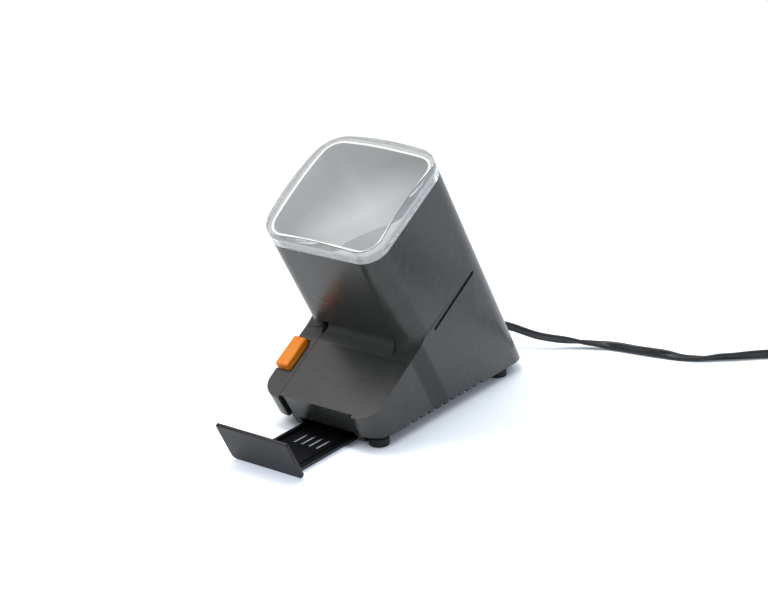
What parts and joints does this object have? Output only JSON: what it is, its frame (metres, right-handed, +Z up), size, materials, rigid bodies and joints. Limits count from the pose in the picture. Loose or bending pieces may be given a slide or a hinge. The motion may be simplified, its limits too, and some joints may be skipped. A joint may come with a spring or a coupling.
{
  "type": "slide viewer",
  "caption": "Tabletop slide viewer with a sloping grey case, a square magnifier, an orange switch key, a pull-out tray below and a mains flex with a plug",
  "frame": {"origin": "centre of the bounding box of the viewer without its flex, at the height of the surface it stands on", "axes": "+Z up, -Y to the front where the tray pulls out, +X to the viewer's right, where the slide is pushed in"},
  "size_m": [0.3761, 0.3815, 0.1802],
  "materials": {
    "case_grey": "fine satin texture",
    "tray_grey": "satin",
    "clear_acrylic": "clear, polished",
    "pale_lining": "matt",
    "black_plastic": "satin",
    "key_orange": "soft gloss",
    "white_plastic": "matt white",
    "opal_plastic": "opal",
    "ivory_plastic": "smooth",
    "foot_rubber": "matt",
    "flex_black": "satin",
    "zinc_steel": "zinc plated",
    "brass": "plain",
    "bulb_glass": "clear",
    "wire_brown": "smooth",
    "wire_blue": "smooth",
    "wire_black": "smooth"
  },
  "bodies": {
    "viewer": {"housing": "case_grey", "switch_side_cover": "case_grey", "magnifier_lens": "clear_acrylic", "viewing_hood": "pale_lining", "slide_gate": "pale_lining", "slide_spring_front": "zinc_steel", "slide_spring_rear": "zinc_steel", "diffuser": "opal_plastic", "reflector": "white_plastic", "lamp_bulb": "bulb_glass", "lamp_cap": "zinc_steel", "lamp_holder": "ivory_plastic", "lamp_bracket": "zinc_steel", "switch_body": "black_plastic", "contact_front": "brass", "contact_rear": "brass", "switch_spring": "zinc_steel", "base_plate": "black_plastic", "foot_front_left": "foot_rubber", "foot_front_right": "foot_rubber", "foot_rear_left": "foot_rubber", "foot_rear_right": "foot_rubber", "foot_screw_front_left": "zinc_steel", "foot_screw_front_right": "zinc_steel", "foot_screw_rear_left": "zinc_steel", "foot_screw_rear_right": "zinc_steel", "tray_runner_left": "black_plastic", "tray_runner_right": "black_plastic", "terminal_block": "ivory_plastic", "cord_clamp": "ivory_plastic", "clamp_screw_left": "zinc_steel", "clamp_screw_right": "zinc_steel", "cord_gland": "black_plastic", "cord_tail": "flex_black", "wire_live": "wire_brown", "wire_neutral": "wire_blue", "wire_switched": "wire_black", "power_cord": "flex_black", "cord_coil": "flex_black", "cord_tie": "black_plastic", "plug": "black_plastic", "plug_pin_a": "zinc_steel", "plug_pin_b": "zinc_steel"},
    "slide_tray": {"tray": "black_plastic", "tray_front": "tray_grey"},
    "key": {"switch_button": "key_orange", "switch_plunger": "black_plastic", "contact_bridge": "brass"}
  },
  "joints": [
    {"name": "tray_slide", "type": "slide", "parent": "viewer", "child": "slide_tray", "axis": [0, -1, 0], "range_m": [-0.059, 0]},
    {"name": "button_press", "type": "slide", "parent": "viewer", "child": "key", "axis": [0, 0.5075, -0.8616], "range_m": [0, 0.003], "stiffness_N_per_m": 300, "springref_m": -0.002, "deforming": ["switch_spring"]}
  ]
}
